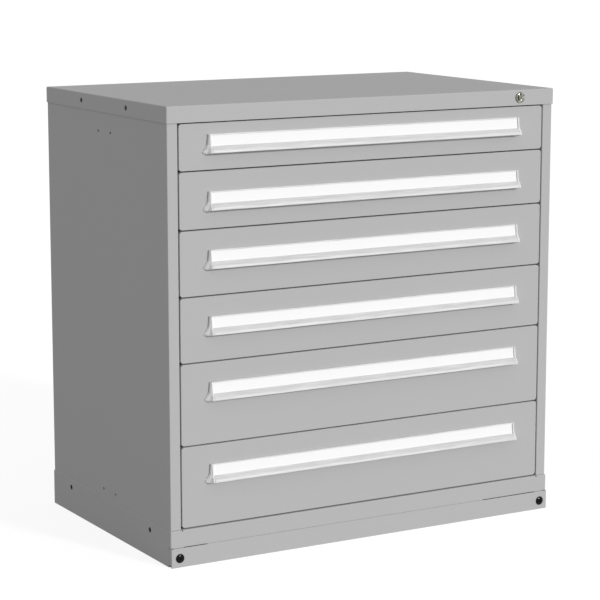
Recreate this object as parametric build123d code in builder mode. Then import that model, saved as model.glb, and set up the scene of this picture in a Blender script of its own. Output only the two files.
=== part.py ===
from build123d import *
import os

# Modular drawer cabinet: a folded steel housing on a fork-lift base, six drawers on roller carriages,
# full-width pulls, and one lock in the cover that blocks every drawer through a lifting bar.
# X is the width, with +X at the lock's side, -Y is the front, Z is up and the floor is Z = 0.
# The origin is under the middle of everything, from the lips of the pulls to the back.

# Cabinet
WIDTH = 1143.0
DEPTH = 717.5
BASE_HEIGHT = 93.5
COVER_DROP = 41.3
DRAWER_HEIGHTS = [114.7, 140.9, 161.9, 161.9, 205.0, 205.0]
DRAWER_GAP = 3.0
SIDE_SETBACK = 2.2
FRONT_SETBACK = 3.5
POST_WIDTH = 29.0
POST_RETURN = 16.0
POST_FOOT_GAP = 0.6
REAR_FLANGE = 26.0
HOUSING_SHEET = 1.5
BASE_SHEET = 2.0
BACK_SHEET = 1.2
BACK_EDGE_GAP = 1.5
SIDE_BEND = 2.2
COVER_BEND = 3.0
COVER_CORNER = 3.2
COVER_SEAT = 0.3

# Base and kick plate
KICK_HEIGHT = 49.0
KICK_PROUD = 4.0
KICK_RETURN = 16.0
KICK_SIDE_LIFT = 6.0
KICK_TOP_FLANGE = 12.0
KICK_CORNER = 2.5
SEAM_GAP = 0.9
SEAM_OPEN_LEFT = 101.0
SEAM_OPEN_RIGHT = 210.0
NOTCH_GAP = 0.5
FLOOR_FLANGE = 25.0
SILL_FLANGE = 15.0
SILL_RELIEF = 3.5
WELD_PLATE_WIDTH = 26.0
WELD_PLATE_FOOT = 8.0
SCREW_INSET = 23.5
SCREW_HEIGHT = 23.3
SCREW_HEAD_RADIUS = 11.8
SCREW_HEAD_RISE = 4.5
SCREW_HEAD_RIM = 1.2
SCREW_RADIUS = 4.0
SCREW_CLEARANCE = 0.05
SCREW_LENGTH = 16.0

# Holes for bolting cabinets side by side
COVER_HOLE_RADIUS = 7.0
COVER_HOLE_SPACING = 266.0
COVER_HOLE_DROP = 20.0
SKIRT_HOLE_RADIUS = 7.0
SKIRT_HOLE_SPACING = 482.0
SKIRT_HOLE_DROP = 23.5
SIDE_HOLE_RADIUS = 3.5
SIDE_HOLE_SPACING = 72.0
SIDE_HOLE_INSET_TOP = 90.6
SIDE_HOLE_INSET_BOTTOM = 20.1

# Uprights inside the sides
UPRIGHT_WIDTH = 40.0
UPRIGHT_FOOT = 12.0
UPRIGHT_SHEET = 1.5
UPRIGHT_PAST_POST = 1.7
UPRIGHT_FRONT_START = 45.0
UPRIGHT_REAR_SPACE = 70.0
UPRIGHT_TOP_SPACE = 12.0
SLOT_LENGTH = 16.0
SLOT_WIDTH = 6.0
SLOT_PITCH = 101.6

# Roller slides
WHEEL_RADIUS = 11.0
WHEEL_WIDTH = 20.0
JOURNAL_RADIUS = 4.0
JOURNAL_CLEARANCE = 0.05
WHEEL_SPACING = 70.0
RUNNING_GAP = 0.3
RETURN_GAP = 1.5
WHEEL_SIDE_GAP = 0.8
CARRIAGE_PLATE = 2.0
CARRIAGE_HEIGHT = 16.0
CARRIAGE_OVERHANG = 8.0
CARRIAGE_SIDE_GAP = 0.6
RAIL_SHEET = 1.5
RAIL_FLANGE = 10.0
RAIL_SPACE = 7.8
RAIL_END_SPACE = 12.0
STOP_MARGIN = 3.0
STOP_HEIGHT = 8.0

# Drawers
OPENING_GAP = 3.1
FRONT_SHEET = 1.2
FRONT_FOLD = 15.0
FRONT_CORNER = 8.0
FRONT_BEND = 1.5
TRAY_SHEET = 1.2
TRAY_LIFT = 8.0
TRAY_TOP_SPACE = 12.0
TRAY_BACK_SPACE = 22.0
TRAY_RIM = 4.0
TRAY_FLANGE = 11.5
CLOSING_INSET = 0.4
RAIL_LIFT = 11.0
LUG_SPACE = 16.0
LUG_HEIGHT = 12.0
LUG_REACH = 15.0
LUG_SHEET = 3.0

# Pulls, as a reach in front of the drawer face and a drop below the top of the pull
PULL_END_SPACE = 83.0
PULL_DROP_FIRST = 27.0
PULL_DROP = 49.0
PULL_HEIGHT = 49.5
PULL_REACH = 22.0
PULL_PLATE = 2.0
PULL_TOP_REACH = 7.2
PULL_TOP_LIP = 3.0
LABEL_REACH_TOP = 5.0
LABEL_REACH_FOOT = 8.5
LABEL_FOOT_DROP = 29.0
LABEL_HEAD_DROP = 1.4
LABEL_THICKNESS = 0.8
LABEL_GAP = 0.2
LABEL_END_GAP = 1.0
LEDGE_REACH = 9.9
WEB_THICKNESS = 1.8
LIP_THICKNESS = 1.8
LIP_CORNER_DROP = 39.5
LIP_RADIUS = 10.0
NOSE_RADIUS = 0.8
NOSE_DROP = 45.6
END_WALL = 2.8
END_WALL_PROUD = 4.0

# Lock
LOCK_INSET = 108.5
LOCK_DROP = 20.5
LOCK_FLANGE_RADIUS = 14.0
LOCK_FLANGE_RISE = 4.5
LOCK_BODY_RADIUS = 9.5
LOCK_HOLE_GAP = 0.1
LOCK_BODY_LENGTH = 16.0
LOCK_NUT_RADIUS = 13.0
LOCK_NUT_HEIGHT = 3.0
PLUG_RADIUS = 6.5
PLUG_GAP = 0.05
PLUG_RISE = 1.5
KEYWAY = (1.6, 8.0, 4.0)
CRANK_RADIUS = 8.0
CRANK_PLATE = 2.0
CRANK_HALF_WIDTH = 5.0
CRANK_PIN_RADIUS = 2.5
CRANK_GAP = 0.4
PIN_SLOT_GAP = 0.6
PIN_END_GAP = 1.3
PIN_PAST_BAR = 1.0
BAR_THICKNESS = 2.0
BAR_WIDTH = 16.0
BAR_SPACE = 1.8
BAR_POST_GAP = 0.4
BAR_ARM_HEIGHT = 20.0
BAR_ARM_MARGIN = 6.0
BAR_FOOT_SPACE = 30.0
CATCH_THICKNESS = 2.0
CATCH_HEIGHT = 8.0
CATCH_GAP = 1.0
CATCH_SIDE_GAP = 3.8
CATCH_EDGE = 3.0
GUIDE_THICKNESS = 3.0
GUIDE_GAP = 0.3
GUIDE_LIP = 4.0

# Places worked out from the sizes above
DIAGONAL = 0.5**0.5
COVER_Y = (PULL_REACH - FRONT_SETBACK - DEPTH) / 2
FACE_Y = COVER_Y + FRONT_SETBACK
BACK_Y = COVER_Y + DEPTH
MID_Y = COVER_Y + DEPTH / 2
KICK_Y = COVER_Y - KICK_PROUD
OPENING_TOP = BASE_HEIGHT + sum(DRAWER_HEIGHTS) + DRAWER_GAP * (len(DRAWER_HEIGHTS) + 1)
HEIGHT = OPENING_TOP + COVER_DROP
SIDE_X = WIDTH / 2 - SIDE_SETBACK
SIDE_INNER_X = SIDE_X - HOUSING_SHEET
POST_EDGE = SIDE_X - POST_WIDTH
SIDE_TOP = HEIGHT - HOUSING_SHEET - COVER_SEAT
SIDE_REAR = BACK_Y - SIDE_SETBACK
BACK_PANEL_Y = SIDE_REAR - HOUSING_SHEET
FRONT_HALF = POST_EDGE - OPENING_GAP
TRAY_FRONT = FACE_Y + FRONT_FOLD
TRAY_REAR = BACK_PANEL_Y - BACK_SHEET - TRAY_BACK_SPACE
RAIL_FRONT = TRAY_FRONT + TRAY_SHEET + RAIL_SPACE
RAIL_REAR = BACK_PANEL_Y - BACK_SHEET - RAIL_END_SPACE
TRAVEL = TRAY_REAR - RAIL_FRONT - WHEEL_SPACING - 2 * (WHEEL_RADIUS + STOP_MARGIN)
FRONT_WHEEL_Y = RAIL_FRONT + WHEEL_RADIUS + STOP_MARGIN + TRAVEL / 2
REAR_WHEEL_Y = FRONT_WHEEL_Y + WHEEL_SPACING
UPRIGHT_X = POST_EDGE + UPRIGHT_PAST_POST
RAIL_WEB_X = UPRIGHT_X - RAIL_SHEET
CARRIAGE_X = RAIL_WEB_X - CARRIAGE_SIDE_GAP - CARRIAGE_PLATE
WHEEL_END_X = CARRIAGE_X - CARRIAGE_SIDE_GAP
WHEEL_X = WHEEL_END_X - WHEEL_WIDTH
TRAY_HALF = WHEEL_X - WHEEL_SIDE_GAP - RAIL_SHEET
PULL_HALF = FRONT_HALF - PULL_END_SPACE
PULL_INSET = LABEL_THICKNESS + LABEL_GAP
SCREW_X = WIDTH / 2 - SCREW_INSET
LOCK_X = WIDTH / 2 - LOCK_INSET
LOCK_Z = HEIGHT - LOCK_DROP
BAR_Y = FACE_Y + max(POST_RETURN, FRONT_FOLD + TRAY_SHEET) + BAR_SPACE
BAR_X = POST_EDGE + HOUSING_SHEET + BAR_POST_GAP + GUIDE_LIP + GUIDE_GAP
BAR_LIFT = 2 * CRANK_RADIUS * DIAGONAL
CATCH_Y = BAR_Y + BAR_THICKNESS
LUG_Y = CATCH_Y + CATCH_THICKNESS + CATCH_GAP

os.makedirs("parts", exist_ok=True)


def front_plane(y):
    """Upright plane across the cabinet at depth y, seen from the front."""
    return Plane.XZ.offset(-y)


def side_plane(x):
    """Upright plane along the cabinet at width x: its own axes are Y and Z."""
    return Plane.YZ.offset(x)


def save(piece, name):
    """Label a finished piece and write it under its node name."""
    piece.part.label = name
    export_step(piece.part, "parts/" + name + ".step")


def save_welded(pieces, name):
    """Write pieces that are welded or riveted face to face as one node of separate solids."""
    welded = Compound(label=name, children=[piece.part for piece in pieces])
    export_step(welded, "parts/" + name + ".step")


# Drawer places, from the top of the cabinet down
DRAWERS = []
face_top = OPENING_TOP - DRAWER_GAP
for index, face_height in enumerate(DRAWER_HEIGHTS):
    drop = PULL_DROP_FIRST if index == 0 else PULL_DROP
    place = {"name": f"drawer_{index + 1}", "top": face_top, "bottom": face_top - face_height}
    place["tray_bottom"] = place["bottom"] + TRAY_LIFT
    place["tray_top"] = place["top"] - TRAY_TOP_SPACE
    place["wheel_z"] = place["tray_bottom"] + RAIL_LIFT + RAIL_SHEET + RETURN_GAP + WHEEL_RADIUS
    place["lug_z"] = place["wheel_z"] + WHEEL_RADIUS + RETURN_GAP + RAIL_SHEET + LUG_SPACE
    place["pull_top"] = place["top"] - drop
    DRAWERS.append(place)
    face_top = place["bottom"] - DRAWER_GAP


def side_wall(hand):
    """One side: a single sheet folded into the front post with its return, and the rear flange."""
    outline = [
        (hand * (SIDE_X - REAR_FLANGE), SIDE_REAR),
        (hand * SIDE_X, SIDE_REAR),
        (hand * SIDE_X, FACE_Y),
        (hand * POST_EDGE, FACE_Y),
        (hand * POST_EDGE, FACE_Y + POST_RETURN),
    ]
    inside = Side.RIGHT if hand > 0 else Side.LEFT
    with BuildPart() as wall:
        with BuildSketch(Plane.XY.offset(BASE_HEIGHT)):
            with BuildLine():
                FilletPolyline(*outline, radius=SIDE_BEND)
                offset(amount=HOUSING_SHEET, side=inside)
            make_face()
        extrude(amount=SIDE_TOP - BASE_HEIGHT)
        with BuildSketch(side_plane(hand * SIDE_X)):
            for height in (HEIGHT - SIDE_HOLE_INSET_TOP, BASE_HEIGHT + SIDE_HOLE_INSET_BOTTOM):
                with Locations((MID_Y, height)):
                    with GridLocations(SIDE_HOLE_SPACING, 0, 2, 1):
                        Circle(SIDE_HOLE_RADIUS)
            with Locations((MID_Y, HEIGHT - COVER_HOLE_DROP)):
                with GridLocations(COVER_HOLE_SPACING, 0, 2, 1):
                    Circle(COVER_HOLE_RADIUS)
        extrude(amount=2 * HOUSING_SHEET, both=True, mode=Mode.SUBTRACT)
        # the post stands clear of the base, which only the side itself is welded to
        with BuildSketch(Plane.XY.offset(BASE_HEIGHT)):
            with Locations((hand * (SIDE_X - SIDE_BEND - POST_WIDTH / 2), FACE_Y + POST_RETURN / 2)):
                Rectangle(POST_WIDTH, POST_RETURN + HOUSING_SHEET)
        extrude(amount=POST_FOOT_GAP, mode=Mode.SUBTRACT)
    return wall


save(side_wall(1), "side_right")
save(side_wall(-1), "side_left")

# Back: a flat sheet inside the rear flanges, with a folded stiffening edge at its foot
with BuildPart() as back_panel:
    with BuildSketch(Plane.XY.offset(BASE_HEIGHT)):
        with Locations((0, BACK_PANEL_Y - BACK_SHEET / 2)):
            Rectangle(2 * (SIDE_INNER_X - BACK_EDGE_GAP), BACK_SHEET)
    extrude(amount=SIDE_TOP - BASE_HEIGHT)
    with BuildSketch(Plane.XY.offset(BASE_HEIGHT)):
        with Locations((0, BACK_PANEL_Y - RAIL_END_SPACE / 2)):
            Rectangle(2 * (SIDE_INNER_X - REAR_FLANGE), RAIL_END_SPACE)
    extrude(amount=BACK_SHEET)
save(back_panel, "back_panel")

# Top cover: a shallow pan turned over, with bolt holes in its sides and the lock hole in front
with BuildPart() as top_cover:
    with BuildSketch(Plane.XY.offset(OPENING_TOP)):
        with Locations((0, MID_Y)):
            RectangleRounded(WIDTH, DEPTH, COVER_CORNER)
    extrude(amount=COVER_DROP)
    fillet(top_cover.faces().sort_by(Axis.Z)[-1].edges(), radius=COVER_BEND)
    with BuildSketch(Plane.XY.offset(OPENING_TOP)):
        with Locations((0, MID_Y)):
            inner_corner = COVER_CORNER - HOUSING_SHEET
            RectangleRounded(WIDTH - 2 * HOUSING_SHEET, DEPTH - 2 * HOUSING_SHEET, inner_corner)
    extrude(amount=COVER_DROP - HOUSING_SHEET, mode=Mode.SUBTRACT)
    with BuildSketch(side_plane(0)):
        with Locations((MID_Y, HEIGHT - COVER_HOLE_DROP)):
            with GridLocations(COVER_HOLE_SPACING, 0, 2, 1):
                Circle(COVER_HOLE_RADIUS)
    extrude(amount=WIDTH, both=True, mode=Mode.SUBTRACT)
    with BuildSketch(front_plane(COVER_Y)):
        with Locations((LOCK_X, LOCK_Z)):
            Circle(LOCK_BODY_RADIUS + LOCK_HOLE_GAP)
    extrude(amount=2 * HOUSING_SHEET, both=True, mode=Mode.SUBTRACT)
save(top_cover, "top_cover")

# Base: an inverted pan with a front sill, open below the sill for lift forks
with BuildPart() as base:
    with BuildSketch():
        with Locations((0, MID_Y)):
            RectangleRounded(WIDTH, DEPTH, COVER_CORNER)
    extrude(amount=BASE_HEIGHT)
    fillet(base.faces().sort_by(Axis.Z)[-1].edges(), radius=COVER_BEND)
    with BuildSketch():
        with Locations((0, MID_Y)):
            RectangleRounded(WIDTH - 2 * BASE_SHEET, DEPTH - 2 * BASE_SHEET, COVER_CORNER - BASE_SHEET)
    extrude(amount=BASE_HEIGHT - BASE_SHEET, mode=Mode.SUBTRACT)
    # floor flanges along the sides and the back
    with BuildSketch():
        with Locations((0, MID_Y)):
            Rectangle(WIDTH - 2 * BASE_SHEET, DEPTH - 2 * BASE_SHEET)
        with Locations((0, MID_Y - FLOOR_FLANGE)):
            Rectangle(WIDTH - 2 * (BASE_SHEET + FLOOR_FLANGE), DEPTH, mode=Mode.SUBTRACT)
    extrude(amount=BASE_SHEET)
    # fork opening, wide enough to take the ends of the kick plate
    with BuildSketch():
        with Locations((0, COVER_Y + (KICK_RETURN - KICK_PROUD + NOTCH_GAP) / 2)):
            Rectangle(WIDTH + 2, KICK_RETURN - KICK_PROUD + NOTCH_GAP)
    extrude(amount=KICK_HEIGHT + SEAM_GAP, mode=Mode.SUBTRACT)
    # flange under the sill
    with BuildSketch(Plane.XY.offset(KICK_HEIGHT + SEAM_GAP)):
        with Locations((0, COVER_Y + BASE_SHEET + SILL_FLANGE / 2)):
            Rectangle(WIDTH - 2 * BASE_SHEET, SILL_FLANGE)
    extrude(amount=BASE_SHEET)
    # bend reliefs where the sill meets the posts
    with BuildSketch(Plane.XY.offset(BASE_HEIGHT - SILL_RELIEF)):
        for hand in (-1, 1):
            with Locations((hand * (POST_EDGE - SILL_RELIEF / 2), COVER_Y)):
                Rectangle(SILL_RELIEF, 2 * FRONT_SETBACK)
    extrude(amount=2 * SILL_RELIEF, mode=Mode.SUBTRACT)
    # tapped weld plates that the kick plate screws go into, set back behind the seam at their tops
    for front, thickness, top in (
        (KICK_Y + BASE_SHEET, KICK_PROUD, KICK_HEIGHT - SEAM_GAP),
        (COVER_Y + BASE_SHEET, BASE_SHEET, KICK_HEIGHT + SEAM_GAP),
    ):
        with BuildSketch(front_plane(front)):
            for hand in (-1, 1):
                with Locations((hand * SCREW_X, (top + WELD_PLATE_FOOT) / 2)):
                    Rectangle(WELD_PLATE_WIDTH, top - WELD_PLATE_FOOT)
        extrude(amount=-thickness)
    with BuildSketch(front_plane(KICK_Y)):
        for hand in (-1, 1):
            with Locations((hand * SCREW_X, SCREW_HEIGHT)):
                Circle(SCREW_RADIUS + SCREW_CLEARANCE)
    extrude(amount=-2 * (KICK_PROUD + BASE_SHEET), mode=Mode.SUBTRACT)
    # bolt holes through both side skirts
    with BuildSketch(side_plane(0)):
        with Locations((MID_Y, BASE_HEIGHT - SKIRT_HOLE_DROP)):
            with GridLocations(SKIRT_HOLE_SPACING, 0, 2, 1):
                Circle(SKIRT_HOLE_RADIUS)
    extrude(amount=WIDTH, both=True, mode=Mode.SUBTRACT)
save(base, "base")

# Kick plate: removable cover of the fork opening, folded back at its ends and top
with BuildPart() as kick_plate:
    with BuildSketch():
        with BuildLine():
            FilletPolyline(
                (-WIDTH / 2, KICK_Y + KICK_RETURN),
                (-WIDTH / 2, KICK_Y),
                (WIDTH / 2, KICK_Y),
                (WIDTH / 2, KICK_Y + KICK_RETURN),
                radius=KICK_CORNER,
            )
            offset(amount=BASE_SHEET, side=Side.LEFT)
        make_face()
    extrude(amount=KICK_HEIGHT)
    with BuildSketch():
        with Locations((0, KICK_Y + BASE_SHEET + KICK_RETURN / 2)):
            Rectangle(WIDTH + 2, KICK_RETURN)
    extrude(amount=KICK_SIDE_LIFT, mode=Mode.SUBTRACT)
    # top fold, which closes the seam except towards the ends
    with BuildSketch(Plane.XY.offset(KICK_HEIGHT + SEAM_GAP - BASE_SHEET)):
        with Locations(((SEAM_OPEN_LEFT - SEAM_OPEN_RIGHT) / 2, KICK_Y + (BASE_SHEET + KICK_TOP_FLANGE) / 2)):
            Rectangle(WIDTH - SEAM_OPEN_LEFT - SEAM_OPEN_RIGHT, BASE_SHEET + KICK_TOP_FLANGE)
    extrude(amount=BASE_SHEET)
    with BuildSketch(front_plane(KICK_Y)):
        for hand in (-1, 1):
            with Locations((hand * SCREW_X, SCREW_HEIGHT)):
                Circle(SCREW_RADIUS + SCREW_CLEARANCE)
    extrude(amount=-BASE_SHEET, mode=Mode.SUBTRACT)
save(kick_plate, "kick_plate")

# Kick plate screws: wide domed heads, each on a threaded shank into its weld plate
with BuildPart() as kick_plate_screws:
    with BuildSketch(side_plane(SCREW_X)):
        with BuildLine():
            crown = (KICK_Y - SCREW_HEAD_RISE, SCREW_HEIGHT)
            rim = (KICK_Y - SCREW_HEAD_RIM, SCREW_HEIGHT + SCREW_HEAD_RADIUS)
            Line((KICK_Y + SCREW_LENGTH, SCREW_HEIGHT), crown)
            RadiusArc(crown, rim, (SCREW_HEAD_RADIUS**2 + (SCREW_HEAD_RISE - SCREW_HEAD_RIM) ** 2)
                      / (2 * (SCREW_HEAD_RISE - SCREW_HEAD_RIM)))
            Polyline(
                rim,
                (KICK_Y, SCREW_HEIGHT + SCREW_HEAD_RADIUS),
                (KICK_Y, SCREW_HEIGHT + SCREW_RADIUS),
                (KICK_Y + SCREW_LENGTH, SCREW_HEIGHT + SCREW_RADIUS),
                (KICK_Y + SCREW_LENGTH, SCREW_HEIGHT),
            )
        make_face()
    revolve(axis=Axis((SCREW_X, 0, SCREW_HEIGHT), (0, 1, 0)))
    mirror(about=Plane.YZ)
save(kick_plate_screws, "kick_plate_screws")

# Cabinet rails: channels open to the inside, one on each side of each drawer, with a front stop
with BuildPart() as cabinet_rails:
    for place in DRAWERS:
        z = place["wheel_z"]
        foot = z - WHEEL_RADIUS - RUNNING_GAP - RAIL_SHEET
        head = z + WHEEL_RADIUS + RETURN_GAP + RAIL_SHEET
        inner = RAIL_WEB_X - RAIL_FLANGE
        with BuildSketch(front_plane(RAIL_FRONT)):
            with BuildLine():
                Polyline(
                    (inner, foot),
                    (UPRIGHT_X, foot),
                    (UPRIGHT_X, head),
                    (inner, head),
                    (inner, head - RAIL_SHEET),
                    (RAIL_WEB_X, head - RAIL_SHEET),
                    (RAIL_WEB_X, foot + RAIL_SHEET),
                    (inner, foot + RAIL_SHEET),
                    close=True,
                )
            make_face()
        extrude(amount=-(RAIL_REAR - RAIL_FRONT))
        with BuildSketch(front_plane(RAIL_FRONT)):
            with Locations(((inner + RAIL_WEB_X) / 2, foot + (RAIL_SHEET + STOP_HEIGHT) / 2)):
                Rectangle(RAIL_WEB_X - inner, RAIL_SHEET + STOP_HEIGHT)
        extrude(amount=-RAIL_SHEET)
    mirror(about=Plane.YZ)
save(cabinet_rails, "cabinet_rails")

# Uprights: hat sections behind the rails, with a column of slots, and the bar guides on one
UPRIGHT_STARTS = [FACE_Y + UPRIGHT_FRONT_START, BACK_PANEL_Y - UPRIGHT_REAR_SPACE]
UPRIGHT_TOP = OPENING_TOP - UPRIGHT_TOP_SPACE
GUIDE_HEIGHTS = [
    DRAWERS[-1]["lug_z"] + LUG_HEIGHT + BAR_FOOT_SPACE,
    DRAWERS[2]["lug_z"] + LUG_HEIGHT + BAR_FOOT_SPACE,
    DRAWERS[0]["lug_z"] - 2 * BAR_FOOT_SPACE,
]
with BuildPart() as uprights:
    for start in UPRIGHT_STARTS:
        web = UPRIGHT_X
        end = start + UPRIGHT_WIDTH
        with BuildSketch(Plane.XY.offset(BASE_HEIGHT)):
            with BuildLine():
                Polyline(
                    (SIDE_INNER_X, start - UPRIGHT_FOOT),
                    (SIDE_INNER_X, start + UPRIGHT_SHEET),
                    (web + UPRIGHT_SHEET, start + UPRIGHT_SHEET),
                    (web + UPRIGHT_SHEET, end - UPRIGHT_SHEET),
                    (SIDE_INNER_X, end - UPRIGHT_SHEET),
                    (SIDE_INNER_X, end + UPRIGHT_FOOT),
                    (SIDE_INNER_X - UPRIGHT_SHEET, end + UPRIGHT_FOOT),
                    (SIDE_INNER_X - UPRIGHT_SHEET, end),
                    (web, end),
                    (web, start),
                    (SIDE_INNER_X - UPRIGHT_SHEET, start),
                    (SIDE_INNER_X - UPRIGHT_SHEET, start - UPRIGHT_FOOT),
                    close=True,
                )
            make_face()
        extrude(amount=UPRIGHT_TOP - BASE_HEIGHT)
        slot_count = int((UPRIGHT_TOP - BASE_HEIGHT) / SLOT_PITCH)
        with BuildSketch(side_plane(UPRIGHT_X)):
            with Locations(((start + end) / 2, (UPRIGHT_TOP + BASE_HEIGHT) / 2)):
                with GridLocations(0, SLOT_PITCH, 1, slot_count):
                    Rectangle(SLOT_LENGTH, SLOT_WIDTH)
        extrude(amount=UPRIGHT_SHEET, mode=Mode.SUBTRACT)
    mirror(about=Plane.YZ)
    for height in GUIDE_HEIGHTS:
        guide_front = BAR_Y - GUIDE_GAP - GUIDE_LIP
        guide_inner = BAR_X - GUIDE_GAP - GUIDE_LIP
        with BuildSketch(Plane.XY.offset(height)):
            with Locations(((guide_inner + SIDE_INNER_X) / 2, (guide_front + UPRIGHT_STARTS[0]) / 2)):
                Rectangle(SIDE_INNER_X - guide_inner, UPRIGHT_STARTS[0] - guide_front)
            with Locations((BAR_X + BAR_WIDTH / 2, BAR_Y + BAR_THICKNESS / 2)):
                Rectangle(BAR_WIDTH + 2 * GUIDE_GAP, BAR_THICKNESS + 2 * GUIDE_GAP, mode=Mode.SUBTRACT)
        extrude(amount=GUIDE_THICKNESS)
save(uprights, "uprights")


def build_tray(place):
    """Drawer body, as the sheets that are spot-welded into it."""
    z = place["wheel_z"]
    bottom = place["tray_bottom"]
    top = place["tray_top"]
    mid_z = (top + bottom) / 2
    inner_half = TRAY_HALF - TRAY_SHEET
    wall_front = TRAY_FRONT + TRAY_SHEET
    wall_rear = TRAY_REAR - TRAY_SHEET
    with BuildPart() as front_wall:
        # wide enough to close the back of the drawer front
        with BuildSketch(front_plane(TRAY_FRONT)):
            with Locations((0, (place["top"] + place["bottom"]) / 2)):
                height = place["top"] - place["bottom"]
                RectangleRounded(2 * (FRONT_HALF - CLOSING_INSET), height - 2 * CLOSING_INSET, FRONT_CORNER)
        extrude(amount=-TRAY_SHEET)
    with BuildPart() as floor:
        with BuildSketch(Plane.XY.offset(bottom)):
            with Locations((0, (wall_front + wall_rear) / 2)):
                Rectangle(2 * inner_half, wall_rear - wall_front)
        extrude(amount=TRAY_SHEET)
    with BuildPart() as back_wall:
        with BuildSketch(front_plane(wall_rear)):
            with Locations((0, mid_z)):
                Rectangle(2 * inner_half, top - bottom)
        extrude(amount=-TRAY_SHEET)
    with BuildPart() as side_walls:
        # plain sheet with its rim rolled outwards
        with BuildSketch(front_plane(wall_front)):
            with BuildLine():
                Polyline(
                    (inner_half, bottom),
                    (TRAY_HALF, bottom),
                    (TRAY_HALF, top - TRAY_SHEET),
                    (TRAY_HALF + TRAY_RIM, top - TRAY_SHEET),
                    (TRAY_HALF + TRAY_RIM, top),
                    (inner_half, top),
                    close=True,
                )
            make_face()
        extrude(amount=-(TRAY_REAR - wall_front))
        mirror(about=Plane.YZ)
    with BuildPart() as channels:
        # the top flange rests on the wheels, and the stop bent down at the rear meets the rear wheel
        flange_end = TRAY_HALF + TRAY_FLANGE
        web = TRAY_HALF + RAIL_SHEET
        head = z + WHEEL_RADIUS + RUNNING_GAP
        foot = z - WHEEL_RADIUS - RETURN_GAP
        with BuildSketch(front_plane(wall_front)):
            with BuildLine():
                Polyline(
                    (TRAY_HALF, foot - RAIL_SHEET),
                    (flange_end, foot - RAIL_SHEET),
                    (flange_end, foot),
                    (web, foot),
                    (web, head),
                    (flange_end, head),
                    (flange_end, head + RAIL_SHEET),
                    (TRAY_HALF, head + RAIL_SHEET),
                    close=True,
                )
            make_face()
        extrude(amount=-(TRAY_REAR - wall_front))
        with BuildSketch(front_plane(TRAY_REAR)):
            with Locations(((web + flange_end) / 2, head - STOP_HEIGHT / 2)):
                Rectangle(flange_end - web, STOP_HEIGHT)
        extrude(amount=RAIL_SHEET)
        mirror(about=Plane.YZ)
    with BuildPart() as lug:
        with BuildSketch(front_plane(LUG_Y)):
            with Locations((TRAY_HALF + LUG_REACH / 2, place["lug_z"] + LUG_HEIGHT / 2)):
                Rectangle(LUG_REACH, LUG_HEIGHT)
        extrude(amount=-LUG_SHEET)
    return [front_wall, floor, back_wall, side_walls, channels, lug]


def build_front(place):
    """Drawer front: a pan of sheet with rounded corners, folded back all round."""
    height = place["top"] - place["bottom"]
    middle = (0, (place["top"] + place["bottom"]) / 2)
    with BuildPart() as face:
        with BuildSketch(front_plane(FACE_Y)):
            with Locations(middle):
                RectangleRounded(2 * FRONT_HALF, height, FRONT_CORNER)
        extrude(amount=-FRONT_FOLD)
        fillet(face.faces().sort_by(Axis.Y)[0].edges(), radius=FRONT_BEND)
        with BuildSketch(front_plane(FACE_Y + FRONT_SHEET)):
            with Locations(middle):
                inner_corner = FRONT_CORNER - FRONT_SHEET
                RectangleRounded(2 * (FRONT_HALF - FRONT_SHEET), height - 2 * FRONT_SHEET, inner_corner)
        extrude(amount=-FRONT_FOLD, mode=Mode.SUBTRACT)
    return face


def pull_point(place, reach, below):
    """A point of the pull's section, by its reach from the face and its drop below the top."""
    return (FACE_Y - reach, place["pull_top"] - below)


# The lip slopes out from the ledge under the label, then turns down in a wide bend to its edge
lip_run = PULL_REACH - LEDGE_REACH
lip_fall = LIP_CORNER_DROP - LABEL_FOOT_DROP
lip_length = (lip_run**2 + lip_fall**2) ** 0.5
lip_slope = lip_fall / lip_run
under_reach = LEDGE_REACH - LIP_THICKNESS * lip_fall / lip_length
under_drop = LABEL_FOOT_DROP + LIP_THICKNESS * lip_run / lip_length
inner_reach = PULL_REACH - LIP_THICKNESS
label_lean = (LABEL_REACH_FOOT - LABEL_REACH_TOP) / (LABEL_FOOT_DROP - LABEL_HEAD_DROP)


def build_pull(place):
    """Extruded pull: back plate, label channel, and a lip that fingers reach under."""
    corner = [
        (0, PULL_HEIGHT),
        (0, 0),
        (PULL_TOP_REACH, 0),
        (PULL_TOP_REACH + label_lean * PULL_TOP_LIP, PULL_TOP_LIP),
        (LABEL_REACH_TOP + PULL_INSET + label_lean * PULL_TOP_LIP, PULL_TOP_LIP),
        (LABEL_REACH_TOP + PULL_INSET, LABEL_HEAD_DROP),
        (LABEL_REACH_TOP, LABEL_HEAD_DROP),
        (LABEL_REACH_FOOT, LABEL_FOOT_DROP),
        (LEDGE_REACH, LABEL_FOOT_DROP),
    ]
    lip = [
        (LEDGE_REACH, LABEL_FOOT_DROP),
        (PULL_REACH, LIP_CORNER_DROP),
        (PULL_REACH, NOSE_DROP),
        (inner_reach, NOSE_DROP),
        (inner_reach, under_drop + (inner_reach - under_reach) * lip_slope),
        (under_reach, under_drop),
    ]
    bends = [LIP_RADIUS, NOSE_RADIUS, NOSE_RADIUS, LIP_RADIUS - LIP_THICKNESS]
    inner = [
        (under_reach, under_drop),
        (PULL_PLATE + WEB_THICKNESS, 4 * PULL_TOP_LIP),
        (PULL_PLATE, 3 * PULL_TOP_LIP),
        (PULL_PLATE, PULL_HEIGHT),
        (0, PULL_HEIGHT),
    ]
    with BuildPart() as pull:
        with BuildSketch(side_plane(-PULL_HALF)):
            with BuildLine():
                Polyline(*[pull_point(place, *spot) for spot in corner])
                FilletPolyline(*[pull_point(place, *spot) for spot in lip], radius=bends)
                Polyline(*[pull_point(place, *spot) for spot in inner])
            make_face()
        extrude(amount=2 * PULL_HALF)
    return pull


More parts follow.
